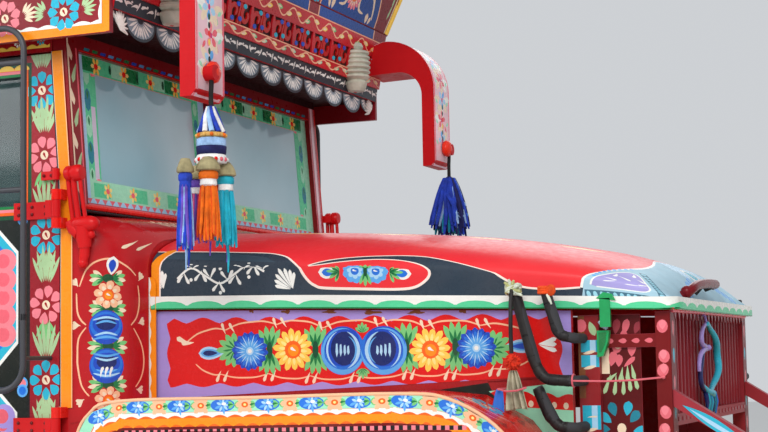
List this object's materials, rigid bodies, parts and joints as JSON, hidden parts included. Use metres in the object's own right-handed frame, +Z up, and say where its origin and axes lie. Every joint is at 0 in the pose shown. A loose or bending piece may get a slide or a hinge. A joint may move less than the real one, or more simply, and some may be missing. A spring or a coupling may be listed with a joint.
{
  "type": "decorated bonneted cargo truck",
  "caption": "Two-axle cargo truck with a bonnet, opening cab doors, a flared painted board over the cab, a high-sided open body with a drop tailgate, and steering front wheels.",
  "frame": {"origin": "middle of the overall box, on the ground under the tyres", "axes": "+X towards the front bumper, +Y to the left, +Z up"},
  "size_m": [8.4, 2.5758, 3.995],
  "materials": {
    "chassis_paint": "worn black-brown frame paint",
    "bare_steel": "dull steel with rust",
    "cast_grey": "painted casting",
    "tyre": "dusty tyre rubber",
    "wheel_paint": "painted wheel",
    "rubber": "rubber sheet",
    "red_paint": "glossy enamel with painted ornament",
    "dark_red_paint": "glossy dark enamel with painted ornament",
    "blue_paint": "glossy enamel with painted ornament",
    "door_paint": "glossy enamel with painted ornament",
    "lavender_paint": "glossy enamel with painted ornament",
    "slate_paint": "glossy enamel",
    "black_wrap": "tube wrapped in black tape",
    "glass": "flat glass",
    "lamp_glass": "lamp lens",
    "seat_vinyl": "vinyl seat cover",
    "black_plastic": "moulded rim",
    "timber": "rough planks",
    "tassel_yarn": "yarn and beads"
  },
  "bodies": {
    "root": {"body_bearers": "timber", "body_front_wall": "red_paint", "body_sides": "red_paint", "body_sills": "timber", "bumpers": "red_paint", "cab_back_panel": "red_paint", "cab_floor": "chassis_paint", "cab_glass": "glass", "cab_roof": "red_paint", "cab_sides": "red_paint", "cab_steps": "chassis_paint", "chassis_crossmembers": "chassis_paint", "chassis_rails": "chassis_paint", "crown_arms": "red_paint", "crown_board": "blue_paint", "crown_cheeks": "dark_red_paint", "crown_gallery": "red_paint", "dashboard": "red_paint", "deck": "timber", "door_hinge_brackets": "red_paint", "engine_and_gearbox": "cast_grey", "engine_bay_sides": "lavender_paint", "exhaust": "bare_steel", "front_axle": "chassis_paint", "front_wings": "red_paint", "fuel_tank": "red_paint", "grille": "dark_red_paint", "hook_arms": "black_wrap", "lamps": "lamp_glass", "leaf_springs": "chassis_paint", "mudflaps": "rubber", "nose_guard": "dark_red_paint", "propeller_shaft": "chassis_paint", "rear_axle": "chassis_paint", "rear_frame": "red_paint", "scuttle": "red_paint", "seat_base": "chassis_paint", "seat_cushions": "seat_vinyl", "tassels": "tassel_yarn", "tool_box": "blue_paint", "valance": "slate_paint", "windscreen_frame": "dark_red_paint"},
    "bonnet": {"bonnet": "red_paint"},
    "door_right": {"door_right": "door_paint", "door_glass_right": "glass"},
    "door_left": {"door_left": "door_paint", "door_glass_left": "glass"},
    "knuckle_right": {"steering_knuckle_right": "chassis_paint"},
    "knuckle_left": {"steering_knuckle_left": "chassis_paint"},
    "track_rod": {"track_rod": "bare_steel"},
    "wheel_front_right": {"front_tyre_right": "tyre", "front_wheel_right": "wheel_paint"},
    "wheel_front_left": {"front_tyre_left": "tyre", "front_wheel_left": "wheel_paint"},
    "wheels_rear_right": {"rear_tyres_right": "tyre", "rear_wheels_right": "wheel_paint"},
    "wheels_rear_left": {"rear_tyres_left": "tyre", "rear_wheels_left": "wheel_paint"},
    "tailgate": {"tailgate": "blue_paint"},
    "steering_wheel": {"steering_wheel": "black_plastic"}
  },
  "joints": [
    {"name": "bonnet_open", "type": "hinge", "parent": "root", "child": "bonnet", "pos_m": [1.99, 0, 1.852], "axis": [0, -1, 0], "range_deg": [0, 42]},
    {"name": "door_right_open", "type": "hinge", "parent": "root", "child": "door_right", "pos_m": [1.79, -1, 1.5], "axis": [0, 0, 1], "range_deg": [0, 60]},
    {"name": "door_left_open", "type": "hinge", "parent": "root", "child": "door_left", "pos_m": [1.79, 1, 1.5], "axis": [0, 0, -1], "range_deg": [0, 60]},
    {"name": "steer_right", "type": "hinge", "parent": "root", "child": "knuckle_right", "pos_m": [2.69, -0.69, 0.51], "axis": [0, 0, 1], "range_deg": [-32, 32]},
    {"name": "steer_left", "type": "hinge", "parent": "root", "child": "knuckle_left", "pos_m": [2.69, 0.69, 0.51], "axis": [0, 0, 1], "range_deg": [-32, 32]},
    {"name": "track_rod_link", "type": "hinge", "parent": "knuckle_right", "child": "track_rod", "pos_m": [2.44, -0.69, 0.406], "axis": [0, 0, 1], "range_deg": [-32, 32]},
    {"name": "steering_wheel_turn", "type": "hinge", "parent": "root", "child": "steering_wheel", "pos_m": [1.37, -0.4, 1.725], "axis": [-0.848, 0, 0.5299], "range_deg": [-577, 577]},
    {"name": "front_right_roll", "type": "hinge", "parent": "knuckle_right", "child": "wheel_front_right", "pos_m": [2.69, -0.86, 0.51], "axis": [0, 1, 0], "continuous": true},
    {"name": "front_left_roll", "type": "hinge", "parent": "knuckle_left", "child": "wheel_front_left", "pos_m": [2.69, 0.86, 0.51], "axis": [0, 1, 0], "continuous": true},
    {"name": "rear_right_roll", "type": "hinge", "parent": "root", "child": "wheels_rear_right", "pos_m": [-1.61, -0.89, 0.51], "axis": [0, 1, 0], "continuous": true},
    {"name": "rear_left_roll", "type": "hinge", "parent": "root", "child": "wheels_rear_left", "pos_m": [-1.61, 0.89, 0.51], "axis": [0, 1, 0], "continuous": true},
    {"name": "tailgate_drop", "type": "hinge", "parent": "root", "child": "tailgate", "pos_m": [-4.132, 0, 1.18], "axis": [0, -1, 0], "range_deg": [0, 90]}
  ],
  "couplings": [
    {"joint": "steer_left", "follows": "steer_right", "ratio": 1},
    {"joint": "track_rod_link", "follows": "steer_right", "ratio": -1},
    {"joint": "steering_wheel_turn", "follows": "steer_right", "ratio": 18}
  ]
}
